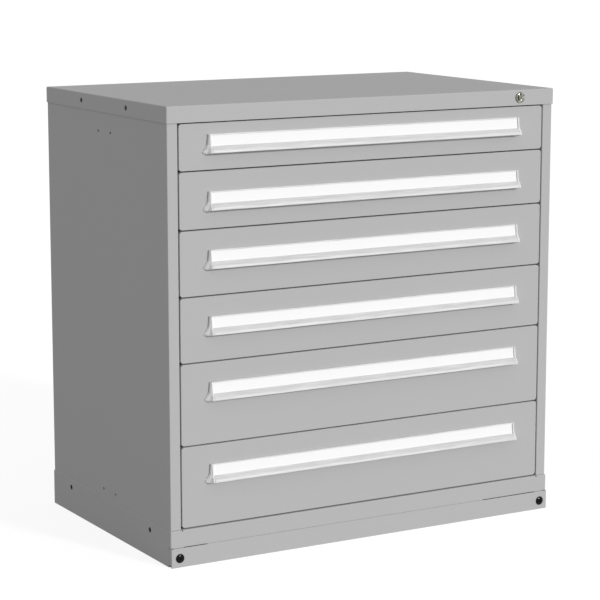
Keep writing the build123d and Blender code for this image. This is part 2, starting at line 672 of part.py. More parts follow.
def build_label(place):
    """Label strip lying in the channel of the pull, under its top lip."""
    lean = label_lean
    start = LABEL_HEAD_DROP + LABEL_GAP
    foot = LABEL_FOOT_DROP
    rise = lean * LABEL_GAP
    spots = [
        (LABEL_REACH_TOP + rise, start),
        (LABEL_REACH_TOP + rise + LABEL_THICKNESS, start),
        (LABEL_REACH_FOOT + LABEL_THICKNESS, foot),
        (LABEL_REACH_FOOT, foot),
    ]
    with BuildPart() as label:
        with BuildSketch(side_plane(LABEL_END_GAP - PULL_HALF)):
            with BuildLine():
                Polyline(*[pull_point(place, *spot) for spot in spots], close=True)
            make_face()
        extrude(amount=2 * (PULL_HALF - LABEL_END_GAP))
    return label


# Sections of an end cap: reach, top drop, side at the top, waist, low side, bottom drop, corner
END_SECTIONS = [
    (0.0, 0.0, 4.0, (6.8, LABEL_FOOT_DROP - 5.0), 19.8, PULL_HEIGHT, 6.0),
    (PULL_TOP_REACH, 0.0, 4.0, (6.3, LABEL_FOOT_DROP - 4.5), 12.8, PULL_HEIGHT - 0.8, 5.0),
    (LEDGE_REACH, LABEL_FOOT_DROP - 0.5, 4.6, (5.8, LABEL_FOOT_DROP + 3.0), 9.6, PULL_HEIGHT - 1.4, 4.0),
    (LEDGE_REACH + 5, LABEL_FOOT_DROP + 4.0, 4.4, (5.3, LABEL_FOOT_DROP + 9.0), 7.4, PULL_HEIGHT - 2.4, 3.0),
    (LEDGE_REACH + 8.7, LIP_CORNER_DROP - 3.4, 4.2, (4.8, LIP_CORNER_DROP + 1.5), 6.0, NOSE_DROP + 0.6, 2.0),
    (PULL_REACH - 0.2, LIP_CORNER_DROP + 2.4, 3.9, (4.2, LIP_CORNER_DROP + 4.0), 4.8, NOSE_DROP, 0.9),
]


def build_pull_ends(place):
    """Moulded end caps: a wall proud of the label, and a body that flares from the lip to the drawer face."""
    top = place["pull_top"]
    proud = PULL_INSET + END_WALL_PROUD
    wall_foot_reach = LABEL_REACH_FOOT + proud
    wall_foot_drop = LABEL_FOOT_DROP + (wall_foot_reach - LEDGE_REACH) * lip_slope
    wall = [
        (0, 0),
        (LABEL_REACH_TOP + proud, 0),
        (LABEL_REACH_FOOT + proud, LABEL_FOOT_DROP),
        (wall_foot_reach, wall_foot_drop),
        (LEDGE_REACH, wall_foot_drop),
        (0, wall_foot_drop),
    ]
    with BuildPart() as ends:
        with BuildSketch(side_plane(PULL_HALF)):
            with BuildLine():
                Polyline(*[pull_point(place, *spot) for spot in wall], close=True)
            make_face()
        extrude(amount=END_WALL)
        for reach, head, brow, waist, low, bottom, corner in END_SECTIONS:
            centre = (PULL_HALF + low - corner, top - bottom + corner)
            diagonal = corner * DIAGONAL
            with BuildSketch(front_plane(FACE_Y - reach)):
                with BuildLine():
                    Polyline(
                        (PULL_HALF, top - bottom),
                        (PULL_HALF, top - head),
                        (PULL_HALF + brow, top - head),
                        (PULL_HALF + waist[0], top - waist[1]),
                        (PULL_HALF + low, centre[1]),
                    )
                    ThreePointArc(
                        (PULL_HALF + low, centre[1]),
                        (centre[0] + diagonal, centre[1] - diagonal),
                        (centre[0], top - bottom),
                    )
                    Line((centre[0], top - bottom), (PULL_HALF, top - bottom))
                make_face()
        loft(ruled=True)
        mirror(about=Plane.YZ)
    return ends


def build_carriages(place):
    """Carriage plates: one each side, between the wheels and the web of the cabinet rail."""
    mid_y = (FRONT_WHEEL_Y + REAR_WHEEL_Y) / 2
    with BuildPart() as carriages:
        with BuildSketch(side_plane(CARRIAGE_X)):
            with Locations((mid_y, place["wheel_z"])):
                Rectangle(WHEEL_SPACING + 2 * CARRIAGE_OVERHANG, CARRIAGE_HEIGHT)
                with GridLocations(WHEEL_SPACING, 0, 2, 1):
                    Circle(JOURNAL_RADIUS + JOURNAL_CLEARANCE, mode=Mode.SUBTRACT)
        extrude(amount=CARRIAGE_PLATE)
        mirror(about=Plane.YZ)
    return carriages


def build_wheels(place, y):
    """Wheels of one axle line: each runs in the cabinet rail and the drawer channel, on its journal."""
    with BuildPart() as wheels:
        with BuildSketch(side_plane(WHEEL_X)):
            with Locations((y, place["wheel_z"])):
                Circle(WHEEL_RADIUS)
        extrude(amount=WHEEL_WIDTH)
        with BuildSketch(side_plane(WHEEL_END_X)):
            with Locations((y, place["wheel_z"])):
                Circle(JOURNAL_RADIUS)
        extrude(amount=CARRIAGE_SIDE_GAP + CARRIAGE_PLATE)
        mirror(about=Plane.YZ)
    return wheels


for place in DRAWERS:
    name = place["name"]
    save_welded(build_tray(place), name + "_tray")
    save(build_front(place), name + "_front")
    save(build_pull(place), name + "_pull")
    save(build_label(place), name + "_label")
    save(build_pull_ends(place), name + "_pull_ends")
    save(build_carriages(place), name + "_carriages")
    save(build_wheels(place, FRONT_WHEEL_Y), name + "_front_wheels")
    save(build_wheels(place, REAR_WHEEL_Y), name + "_rear_wheels")

# Lock barrel: a flanged housing through the cover's front, held by a nut behind it
BARREL_REAR = COVER_Y + LOCK_BODY_LENGTH
LOCK_PLANE = front_plane(BARREL_REAR)
with BuildPart() as lock_barrel:
    with BuildSketch(LOCK_PLANE):
        with Locations((LOCK_X, LOCK_Z)):
            Circle(LOCK_BODY_RADIUS)
    extrude(amount=LOCK_BODY_LENGTH)
    with BuildSketch(front_plane(COVER_Y)):
        with Locations((LOCK_X, LOCK_Z)):
            Circle(LOCK_FLANGE_RADIUS)
    extrude(amount=LOCK_FLANGE_RISE)
    chamfer(lock_barrel.faces().sort_by(Axis.Y)[0].edges(), length=LOCK_FLANGE_RISE / 3)
    with BuildSketch(front_plane(COVER_Y + HOUSING_SHEET)):
        with Locations((LOCK_X, LOCK_Z)):
            RegularPolygon(LOCK_NUT_RADIUS, 6, major_radius=False)
    extrude(amount=-LOCK_NUT_HEIGHT)
    with BuildSketch(LOCK_PLANE):
        with Locations((LOCK_X, LOCK_Z)):
            Circle(PLUG_RADIUS + PLUG_GAP)
    extrude(amount=2 * LOCK_BODY_LENGTH, mode=Mode.SUBTRACT)
save(lock_barrel, "lock_barrel")

# Lock plug: the turning core with its keyway, and a crank behind it whose pin drives the bar
CRANK_FRONT = BARREL_REAR + CRANK_GAP
CRANK_REACH = CRANK_RADIUS * DIAGONAL
PIN_X = LOCK_X - CRANK_REACH
PIN_Z = LOCK_Z - CRANK_REACH
with BuildPart() as lock_plug:
    with BuildSketch(front_plane(CRANK_FRONT)):
        with Locations((LOCK_X, LOCK_Z)):
            Circle(PLUG_RADIUS)
    extrude(amount=CRANK_FRONT - COVER_Y + LOCK_FLANGE_RISE + PLUG_RISE)
    with BuildSketch(front_plane(COVER_Y - LOCK_FLANGE_RISE - PLUG_RISE)):
        with Locations((LOCK_X, LOCK_Z)):
            Rectangle(KEYWAY[0], KEYWAY[1])
    extrude(amount=-KEYWAY[2], mode=Mode.SUBTRACT)
    with BuildSketch(front_plane(CRANK_FRONT)):
        with Locations(((LOCK_X + PIN_X) / 2, (LOCK_Z + PIN_Z) / 2)):
            SlotCenterToCenter(CRANK_RADIUS, 2 * CRANK_HALF_WIDTH, rotation=45)
    extrude(amount=-CRANK_PLATE)
    with BuildSketch(front_plane(CRANK_FRONT + CRANK_PLATE)):
        with Locations((PIN_X, PIN_Z)):
            Circle(CRANK_PIN_RADIUS)
    extrude(amount=-(BAR_Y + BAR_THICKNESS + PIN_PAST_BAR - CRANK_FRONT - CRANK_PLATE))
save(lock_plug, "lock_plug")

# Lock bar: an upright strip, an arm welded to its edge with a slot for the crank pin, and the
# catches riveted behind it, each just below the lug of its drawer until the bar lifts
PIN_RUN = CRANK_RADIUS * (1 - DIAGONAL)
PIN_SLOT_LENGTH = PIN_RUN + 2 * (CRANK_PIN_RADIUS + PIN_END_GAP)
PIN_SLOT_X = PIN_X - PIN_RUN / 2
ARM_LEFT = PIN_SLOT_X - PIN_SLOT_LENGTH / 2 - BAR_ARM_MARGIN
BAR_BOTTOM = DRAWERS[-1]["lug_z"] - BAR_FOOT_SPACE
BAR_TOP = PIN_Z + BAR_ARM_HEIGHT / 2
with BuildPart() as strip:
    with BuildSketch(front_plane(BAR_Y)):
        with Locations((BAR_X + BAR_WIDTH / 2, (BAR_BOTTOM + BAR_TOP) / 2)):
            Rectangle(BAR_WIDTH, BAR_TOP - BAR_BOTTOM)
    extrude(amount=-BAR_THICKNESS)
with BuildPart() as arm:
    with BuildSketch(front_plane(BAR_Y)):
        with Locations(((ARM_LEFT + BAR_X) / 2, PIN_Z)):
            Rectangle(BAR_X - ARM_LEFT, BAR_ARM_HEIGHT)
        with Locations((PIN_SLOT_X, PIN_Z)):
            SlotOverall(PIN_SLOT_LENGTH, 2 * (CRANK_PIN_RADIUS + PIN_SLOT_GAP), mode=Mode.SUBTRACT)
    extrude(amount=-BAR_THICKNESS)
CATCH_X = TRAY_HALF + TRAY_RIM + CATCH_SIDE_GAP
CATCH_END_X = BAR_X + BAR_WIDTH - CATCH_EDGE
with BuildPart() as catches:
    with BuildSketch(front_plane(CATCH_Y)):
        for place in DRAWERS:
            catch_z = place["lug_z"] - CATCH_GAP - CATCH_HEIGHT / 2
            with Locations(((CATCH_X + CATCH_END_X) / 2, catch_z)):
                Rectangle(CATCH_END_X - CATCH_X, CATCH_HEIGHT)
    extrude(amount=-CATCH_THICKNESS)
save_welded([strip, arm, catches], "lock_bar")

print("height", HEIGHT, "travel", TRAVEL, "origin to cover face", COVER_Y)
print("wheels", FRONT_WHEEL_Y, REAR_WHEEL_Y, [round(place["wheel_z"], 3) for place in DRAWERS])
print("bar lift", BAR_LIFT, "lock", LOCK_X, LOCK_Z)
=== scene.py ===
import math

import bmesh
import bpy
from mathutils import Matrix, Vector


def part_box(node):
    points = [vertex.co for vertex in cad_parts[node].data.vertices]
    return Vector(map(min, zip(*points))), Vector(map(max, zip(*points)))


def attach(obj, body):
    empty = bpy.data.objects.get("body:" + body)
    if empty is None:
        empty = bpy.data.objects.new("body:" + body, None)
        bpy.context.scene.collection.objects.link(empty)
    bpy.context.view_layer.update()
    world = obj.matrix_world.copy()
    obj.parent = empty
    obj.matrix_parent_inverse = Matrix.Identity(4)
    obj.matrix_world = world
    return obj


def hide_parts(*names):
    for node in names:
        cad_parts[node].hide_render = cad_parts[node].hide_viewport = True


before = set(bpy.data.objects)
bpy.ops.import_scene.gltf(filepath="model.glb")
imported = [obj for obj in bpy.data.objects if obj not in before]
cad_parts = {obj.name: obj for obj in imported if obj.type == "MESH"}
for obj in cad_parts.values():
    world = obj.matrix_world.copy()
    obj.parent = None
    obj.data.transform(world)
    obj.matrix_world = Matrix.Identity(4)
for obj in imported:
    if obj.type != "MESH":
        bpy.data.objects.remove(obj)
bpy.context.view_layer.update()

# Housing: the two folded sides, the back, the top cover, the base and its kick plate are sheet
# steel, bent, spot-welded and powder coated in one light grey. The coat is matt, with a fine
# orange peel, and its grey drifts a little over each sheet.
COAT_LIGHT = (0.505, 0.505, 0.505)
COAT_DARK = (0.485, 0.485, 0.485)
COAT_SPECULAR = 0.18
COAT_ROUGHNESS = (0.7, 0.84)
COAT_PEEL = 0.00011
COAT_BUMP = 0.6
DRIFT_SCALE = 1.7
PEEL_SCALE = 260.0
GRAIN_SCALE = 900.0
GRAIN_SHARE = 0.2


class Socket:
    """A value in a material's tree, whose arithmetic adds Math nodes."""

    def __init__(self, tree, link=None):
        self.tree = tree
        self.link = link

    def node(self, kind, settings, *inputs, out=0, **named):
        """A new node of this kind: its settings, then its inputs by place and by name."""
        made = self.tree.nodes.new(kind)
        for key, value in settings.items():
            setattr(made, key, value)
        for index, value in enumerate(inputs):
            self.feed(made.inputs[index], value)
        for key, value in named.items():
            self.feed(made.inputs[key.replace("_", " ")], value)
        return Socket(self.tree, made.outputs[out]) if made.outputs else None

    def feed(self, target, value):
        """Links a value to a node's input, or sets it there if it's plain."""
        if isinstance(value, Socket):
            self.tree.links.new(value.link, target)
        elif value is not None:
            target.default_value = value

    def math(self, operation, *others):
        """A Math node on this number and the others."""
        return self.node("ShaderNodeMath", {"operation": operation}, self, *others)

    def vector(self, operation, *others):
        """A Vector Math node on this vector and the others."""
        return self.node("ShaderNodeVectorMath", {"operation": operation}, self, *others)

    def __add__(self, other):
        return self.math("ADD", other)

    def __sub__(self, other):
        return self.math("SUBTRACT", other)

    def __rsub__(self, other):
        return self.node("ShaderNodeMath", {"operation": "SUBTRACT"}, other, self)

    def __mul__(self, other):
        return self.math("MULTIPLY", other)

    def __gt__(self, other):
        return self.math("GREATER_THAN", other)

    def __lt__(self, other):
        return self.math("LESS_THAN", other)

    def __abs__(self):
        return self.math("ABSOLUTE")

    __radd__ = __add__
    __rmul__ = __mul__

    def either(self, other):
        """The larger of two numbers, which joins two masks."""
        return self.math("MAXIMUM", other)

    def scaled(self, factors):
        """This vector times another, part by part."""
        return self.vector("MULTIPLY", factors)

    def noise(self, scale, detail=2.0, roughness=0.5):
        """Noise read at this vector, from 0 to 1 about a middle of 0.5."""
        sizes = {"Scale": scale, "Detail": detail, "Roughness": roughness}
        return self.node("ShaderNodeTexNoise", {}, self, **sizes)

    def between(self, low, high):
        """This number's part from 0 to 1, spread between two colours or two numbers."""
        if not isinstance(low, tuple):
            return self * (high - low) + low
        # the Mix node's two colours come after its second factor, two numbers and two vectors
        unused = [None] * 5
        colours = [(*low, 1.0), (*high, 1.0)]
        return self.node("ShaderNodeMix", {"data_type": "RGBA"}, self, *unused, *colours, out=2)

    def bump(self, height, strength):
        """A normal bumped by this number, whose full range stands for a height in metres."""
        return self.node("ShaderNodeBump", {}, Strength=strength, Distance=height, Height=self)


def finish(name, **constants):
    """A new material with constants set on its shader, and the object coordinates in it."""
    material = bpy.data.materials.new(name)
    material.use_nodes = True
    shader = material.node_tree.nodes["Principled BSDF"]
    for key, value in constants.items():
        shader.inputs[key.replace("_", " ")].default_value = value
    return material, Socket(material.node_tree).node("ShaderNodeTexCoord", {}, out="Object")


def surface(material, colour, roughness, normal=None):
    """Feeds a material's shader with what varies over the surface."""
    shader = material.node_tree.nodes["Principled BSDF"]
    for key, value in (("Base Color", colour), ("Roughness", roughness), ("Normal", normal)):
        colour.feed(shader.inputs[key], value)


def powder_coat(name, light, dark, peel):
    """Matt powder coat: flecks of two near greys, orange peel and a fine grain."""
    material, place = finish(name, Specular_IOR_Level=COAT_SPECULAR)
    drift = place.noise(DRIFT_SCALE, 3.0)
    peeled = place.noise(PEEL_SCALE, 1.0)
    grain = place.noise(GRAIN_SCALE) * GRAIN_SHARE
    mottle = drift * (1 - GRAIN_SHARE) + grain
    relief = peeled * (1 - GRAIN_SHARE) + grain
    surface(
        material, mottle.between(dark, light), peeled.between(*COAT_ROUGHNESS),
        relief.bump(peel, COAT_BUMP),
    )
    return material


def coat(nodes, material):
    """Gives CAD nodes their finish, leaving their meshes alone."""
    for node in nodes:
        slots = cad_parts[node].data.materials
        slots.clear()
        slots.append(material)


housing = powder_coat("housing_coat", COAT_LIGHT, COAT_DARK, COAT_PEEL)
coat(["side_left", "side_right", "back_panel", "top_cover", "base", "kick_plate"], housing)

# Kick plate screws: two wide steel screws with low domed heads and hexagon sockets, blackened and
# polished. They hold the removable kick plate on its weld plates, one near each end.
BLACK_DARK = (0.002, 0.002, 0.002)
BLACK_LIGHT = (0.005, 0.005, 0.005)
BLACK_SPECULAR = 0.13
BLACK_ROUGHNESS = (0.1, 0.16)
SPECKLE_SCALE = 1100.0
SCREW_SIDES = 48
SHANK_RADIUS = 0.004
SOCKET_HALF_WIDTH = 0.0025
SOCKET_MOUTH = 0.0027
SOCKET_DEPTH = 0.0024
DOME_EDGE = 0.0014
DOME_SHARES = (0.27, 0.31, 0.42, 0.54, 0.66, 0.77, 0.86, 0.93)
RIM_STEPS = ((0.97, 0.0013), (0.99, 0.0009), (1.0, 0.0004), (1.0, 0.0))
SHARP_EDGE = math.radians(32)
screw_lo, screw_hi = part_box("kick_plate_screws")
plate_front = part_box("kick_plate")[0][1]
head_radius = (screw_hi[2] - screw_lo[2]) / 2
head_rise = plate_front - screw_lo[1]
screw_span = screw_hi[0] - head_radius
screw_height = (screw_lo[2] + screw_hi[2]) / 2


def ring_reach(half_width, hexagon, turn):
    """Distance from the axis to a circle, or to a hexagon of this half width across its flats."""
    sixth = math.pi / 3
    return half_width / math.cos(turn % sixth - sixth / 2) if hexagon else half_width


def join_loops(form, near_loop, far_loop):
    """A band of faces from one loop of vertices to the next."""
    for side in range(len(near_loop)):
        after = (side + 1) % len(near_loop)
        form.faces.new((near_loop[side], near_loop[after], far_loop[after], far_loop[side]))


def turned_form(rings, sides):
    """Skin round the Y axis through rings of (half width, y, hexagon or not), and its loops."""
    form = bmesh.new()
    loops = []
    for half_width, y, hexagon in rings:
        loop = []
        for side in range(sides):
            turn = 2 * math.pi * side / sides
            reach = ring_reach(half_width, hexagon, turn)
            loop.append(form.verts.new((reach * math.cos(turn), y, reach * math.sin(turn))))
        loops.append(loop)
    for near_loop, far_loop in zip(loops, loops[1:]):
        join_loops(form, near_loop, far_loop)
    return form, loops


def close_loop(form, loop, y):
    """Caps a loop of vertices with a fan about its middle."""
    middle = form.verts.new((0.0, y, 0.0))
    for side, vert in enumerate(loop):
        form.faces.new((vert, loop[(side + 1) % len(loop)], middle))


def to_mesh(form, name):
    """Turns a form into a mesh with outward faces, smooth except across its sharp edges."""
    bmesh.ops.recalc_face_normals(form, faces=form.faces)
    for edge in form.edges:
        edge.smooth = len(edge.link_faces) == 2 and edge.calc_face_angle() < SHARP_EDGE
    for face in form.faces:
        face.smooth = True
    mesh = bpy.data.meshes.new(name)
    form.to_mesh(mesh)
    form.free()
    return mesh


def dome_front(radius):
    """Y of the screw's domed top, with the plate's face at zero."""
    return -head_rise + (head_rise - DOME_EDGE) * (radius / head_radius) ** 2


def row_tree(name):
    """Geometry Nodes that repeat a piece in a straight row, by a count, a start and a step."""
    tree = bpy.data.node_groups.new(name, "GeometryNodeTree")
    ends = tree.interface
    ends.new_socket("Piece", in_out="INPUT", socket_type="NodeSocketGeometry")
    ends.new_socket("Count", in_out="INPUT", socket_type="NodeSocketInt")
    ends.new_socket("First Place", in_out="INPUT", socket_type="NodeSocketVector")
    ends.new_socket("Step", in_out="INPUT", socket_type="NodeSocketVector")
    ends.new_socket("Finish", in_out="INPUT", socket_type="NodeSocketMaterial")
    ends.new_socket("Row", in_out="OUTPUT", socket_type="NodeSocketGeometry")
    given = tree.nodes.new("NodeGroupInput")
    line = tree.nodes.new("GeometryNodeMeshLine")
    line.mode = "OFFSET"
    tree.links.new(given.outputs["Count"], line.inputs["Count"])
    tree.links.new(given.outputs["First Place"], line.inputs["Start Location"])
    tree.links.new(given.outputs["Step"], line.inputs["Offset"])
    placed = tree.nodes.new("GeometryNodeInstanceOnPoints")
    tree.links.new(line.outputs["Mesh"], placed.inputs["Points"])
    tree.links.new(given.outputs["Piece"], placed.inputs["Instance"])
    solid = tree.nodes.new("GeometryNodeRealizeInstances")
    tree.links.new(placed.outputs["Instances"], solid.inputs["Geometry"])
    finished = tree.nodes.new("GeometryNodeSetMaterial")
    tree.links.new(solid.outputs["Geometry"], finished.inputs["Geometry"])
    tree.links.new(given.outputs["Finish"], finished.inputs["Material"])
    made = tree.nodes.new("NodeGroupOutput")
    tree.links.new(finished.outputs["Geometry"], made.inputs["Row"])
    return tree


def in_a_row(name, mesh, tree, count, first, step, material):
    """A plain mesh object: this mesh repeated by the row tree."""
    seed = bpy.data.objects.new(name + "_seed", mesh)
    bpy.context.scene.collection.objects.link(seed)
    modifier = seed.modifiers.new("row", "NODES")
    modifier.node_group = tree
    values = {"Count": count, "First Place": first, "Step": step, "Finish": material}
    for item in tree.interface.items_tree:
        if item.in_out == "INPUT" and item.name in values:
            modifier[item.identifier] = values[item.name]
    bpy.context.view_layer.update()
    repeated = seed.evaluated_get(bpy.context.evaluated_depsgraph_get())
    row = bpy.data.meshes.new_from_object(repeated)
    seed.modifiers.remove(modifier)
    bpy.data.objects.remove(seed)
    piece = bpy.data.objects.new(name, row)
    bpy.context.scene.collection.objects.link(piece)
    return piece


gloss_black, black_place = finish("gloss_black", Specular_IOR_Level=BLACK_SPECULAR)
speckle = black_place.noise(SPECKLE_SCALE)
surface(gloss_black, speckle.between(BLACK_DARK, BLACK_LIGHT), speckle.between(*BLACK_ROUGHNESS))

screw_rings = [
    (SOCKET_HALF_WIDTH, dome_front(SOCKET_HALF_WIDTH) + SOCKET_DEPTH, True),
    (SOCKET_HALF_WIDTH, dome_front(SOCKET_MOUTH), True),
]
for share in DOME_SHARES:
    screw_rings.append((head_radius * share, dome_front(head_radius * share), False))
screw_rings += [(head_radius * share, -rise, False) for share, rise in RIM_STEPS]
screw_rings += [(SHANK_RADIUS, 0.0, False), (SHANK_RADIUS, screw_hi[1] - plate_front, False)]
screw_form, screw_loops = turned_form(screw_rings, SCREW_SIDES)
close_loop(screw_form, screw_loops[0], screw_rings[0][1])
close_loop(screw_form, screw_loops[-1], screw_rings[-1][1])
screw_row = in_a_row(
    "kick_screws", to_mesh(screw_form, "kick_screw_form"), row_tree("straight_row"),
    count=2, first=(-screw_span, plate_front, screw_height), step=(2 * screw_span, 0.0, 0.0),
    material=gloss_black,
)
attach(screw_row, "cabinet")
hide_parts("kick_plate_screws")

# Drawer fronts and bodies: pans and boxes of coated sheet. The fronts are folded back all round,
# with rounded corners, in the housing's own coat, and the bodies behind them have a smoother one.
DRAWERS = ["drawer_1", "drawer_2", "drawer_3", "drawer_4", "drawer_5", "drawer_6"]
BODY_LIGHT = (0.5, 0.5, 0.5)
BODY_DARK = (0.475, 0.475, 0.475)
BODY_PEEL = 0.00007
coat([drawer + "_front" for drawer in DRAWERS], housing)
body_coat = powder_coat("drawer_body_coat", BODY_LIGHT, BODY_DARK, BODY_PEEL)
coat([drawer + "_tray" for drawer in DRAWERS], body_coat)

# Slides: cabinet rails, carriage plates, uprights and lock bar are rolled and pressed strip,
# bright zinc plated, with the faint crystal clouds and drawn lines that plating leaves.
ZINC_LIGHT = (0.66, 0.67, 0.69)
ZINC_DARK = (0.52, 0.53, 0.56)
ZINC_ROUGHNESS = (0.3, 0.5)
CLOUD_SCALE = 60.0
CLOUD_SHARE = 0.6
DRAWN_SCALE = (900.0, 20.0, 900.0)
FINE_RELIEF = 0.00002
METAL_BUMP = 0.5
zinc, zinc_place = finish("zinc_plate", Metallic=1.0)
clouds = zinc_place.noise(CLOUD_SCALE, 4.0, 0.6)
drawn_lines = zinc_place.scaled(DRAWN_SCALE).noise(1.0)
plating = clouds * CLOUD_SHARE + drawn_lines * (1 - CLOUD_SHARE)
surface(
    zinc, clouds.between(ZINC_DARK, ZINC_LIGHT), plating.between(*ZINC_ROUGHNESS),
    drawn_lines.bump(FINE_RELIEF, METAL_BUMP),
)
coat(["cabinet_rails", "uprights", "lock_bar"], zinc)
coat([drawer + "_carriages" for drawer in DRAWERS], zinc)

# Wheels: turned steel on their journals, one line for each axle, with turning marks and a film
# of oil on the tread.
STEEL_DARK = (0.4, 0.4, 0.41)
STEEL_LIGHT = (0.56, 0.56, 0.57)
STEEL_ROUGHNESS = (0.22, 0.38)
TURNING_SCALE = (2600.0, 40.0, 40.0)
wheel_steel, wheel_place = finish("turned_steel", Metallic=1.0)
turning_marks = wheel_place.scaled(TURNING_SCALE).noise(1.0)
surface(
    wheel_steel, turning_marks.between(STEEL_DARK, STEEL_LIGHT),
    turning_marks.between(*STEEL_ROUGHNESS), turning_marks.bump(FINE_RELIEF, METAL_BUMP),
)
for drawer in DRAWERS:
    coat([drawer + "_front_wheels", drawer + "_rear_wheels"], wheel_steel)

# Pulls: one aluminium extrusion across most of the front, clear anodised to a matt pale grey, with
# the die lines of the press running along it. Each is riveted to its drawer front from behind.
PULL_DARK = (0.38, 0.38, 0.38)
PULL_LIGHT = (1.0, 1.0, 1.0)
PULL_METAL = 0.1
PULL_SPECULAR = 0.28
PULL_ROUGHNESS = (0.5, 0.66)
PULL_RELIEF = 0.00003
DIE_SCALE = (3.0, 900.0, 900.0)
STREAK_SCALE = (14.0, 320.0, 320.0)
STREAK_SHARE = 0.55
pull_metal, pull_place = finish(
    "anodised_aluminium", Metallic=PULL_METAL, Specular_IOR_Level=PULL_SPECULAR,
)
die_lines = pull_place.scaled(DIE_SCALE).noise(1.0, 3.0, 0.6)
streaks = pull_place.scaled(STREAK_SCALE).noise(1.0)
pull_tone = die_lines * (1 - STREAK_SHARE) + streaks * STREAK_SHARE
surface(
    pull_metal, pull_tone.between(PULL_DARK, PULL_LIGHT), die_lines.between(*PULL_ROUGHNESS),
    die_lines.bump(PULL_RELIEF, METAL_BUMP),
)
coat([drawer + "_pull" for drawer in DRAWERS], pull_metal)

# End caps: moulded in pale plastic and pushed onto the ends of the pull, with the fine grain of an
# eroded mould.
CAP_DARK = (0.82, 0.82, 0.82)
CAP_LIGHT = (0.88, 0.88, 0.88)
CAP_ROUGHNESS = (0.42, 0.56)
EROSION_SCALE = 2400.0
EROSION_BUMP = 0.6
cap_plastic, cap_place = finish(
    "moulded_plastic", Specular_IOR_Level=0.35, Subsurface_Weight=0.9,
    Subsurface_Radius=(1.0, 1.0, 1.0), Subsurface_Scale=0.008,
)
erosion = cap_place.noise(EROSION_SCALE)
surface(
    cap_plastic, erosion.between(CAP_DARK, CAP_LIGHT), erosion.between(*CAP_ROUGHNESS),
    erosion.bump(FINE_RELIEF, EROSION_BUMP),
)
coat([drawer + "_pull_ends" for drawer in DRAWERS], cap_plastic)

# Labels: blank strips of white card, slid into the channel of each pull, with the soft fibre of
# uncoated board.
CARD_DARK = (0.93, 0.93, 0.925)
CARD_LIGHT = (0.97, 0.97, 0.97)
CARD_SPECULAR = 0.25
CARD_ROUGHNESS = (0.55, 0.75)
CARD_RELIEF = 0.00001
CARD_BUMP = 0.5
FIBRE_SCALE = (500.0, 1500.0, 1500.0)
card, card_place = finish("white_card", Specular_IOR_Level=CARD_SPECULAR)
fibre = card_place.scaled(FIBRE_SCALE).noise(1.0, 4.0, 0.65)
surface(
    card, fibre.between(CARD_DARK, CARD_LIGHT), fibre.between(*CARD_ROUGHNESS),
    fibre.bump(CARD_RELIEF, CARD_BUMP),
)
coat([drawer + "_label" for drawer in DRAWERS], card)

# Lock: a turned barrel with a dished bezel through the front of the cover, clamped by a nut behind
# it, and the plug that turns in it. Both are satin nickel with a fine brushed grain. The light
# and dark wedges on them are painted reflections, laid into the colour by the angle round the
# axis.
BEZEL_SIDES = 96
BORE_RADIUS = 0.00655
LIP_REACH = 0.0034
DISH_STEPS = ((0.0, 0.003), (0.0003, 0.0033), (0.0022, 0.0036))
RIM_ROUNDING = ((0.0026, 0.0), (0.0016, 0.0003), (0.0006, 0.0011), (0.0, 0.0024))
BODY_RADIUS = 0.0095
NUT_HALF_WIDTH = 0.013
NUT_FRONT = 0.0015
NUT_BACK = 0.0045
# The dark and light ends of the reflections that are painted in wedges on the bezel and the plug.
BEZEL_REFLECTION_DARK = (0.1, 0.1, 0.085)
BEZEL_REFLECTION_LIGHT = (0.46, 0.455, 0.4)
BEZEL_ROUGHNESS = (0.14, 0.26)
PLUG_REFLECTION_DARK = (0.06, 0.06, 0.05)
PLUG_REFLECTION_LIGHT = (0.5, 0.495, 0.44)
PLUG_ROUGHNESS = (0.16, 0.26)
# Size and contrast of the painted reflection wedges.
REFLECTION_WEDGE_SCALE = 1.5
REFLECTION_WEDGE_CONTRAST = 3.4
BRUSH_SCALE = 1500.0
BRUSH_SHARE = 0.3
cover_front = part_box("top_cover")[0][1]
barrel_lo, barrel_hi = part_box("lock_barrel")
barrel_rear = barrel_hi[1] - cover_front
bezel_radius = (barrel_hi[2] - barrel_lo[2]) / 2
bezel_front = barrel_lo[1] - cover_front
lock_x = (barrel_lo[0] + barrel_hi[0]) / 2
lock_z = (barrel_lo[2] + barrel_hi[2]) / 2

bezel_rings = [(BORE_RADIUS, barrel_rear, False)]
bezel_rings += [(BORE_RADIUS + outward, -rise, False) for outward, rise in DISH_STEPS]
bezel_rings += [(BORE_RADIUS + LIP_REACH, bezel_front, False)]
for inward, back in RIM_ROUNDING:
    bezel_rings.append((bezel_radius - inward, bezel_front + back, False))
bezel_rings += [(bezel_radius, 0.0, False), (BODY_RADIUS, 0.0, False)]
bezel_rings += [(BODY_RADIUS, NUT_FRONT, False)]
bezel_rings += [(NUT_HALF_WIDTH, NUT_FRONT, True), (NUT_HALF_WIDTH, NUT_BACK, True)]
bezel_rings += [(BODY_RADIUS, NUT_BACK, False), (BODY_RADIUS, barrel_rear, False)]
bezel_form, bezel_loops = turned_form(bezel_rings, BEZEL_SIDES)
join_loops(bezel_form, bezel_loops[-1], bezel_loops[0])
bmesh.ops.translate(bezel_form, verts=bezel_form.verts, vec=(lock_x, cover_front, lock_z))
bezel = bpy.data.objects.new("lock_bezel", to_mesh(bezel_form, "lock_bezel"))
bpy.context.scene.collection.objects.link(bezel)


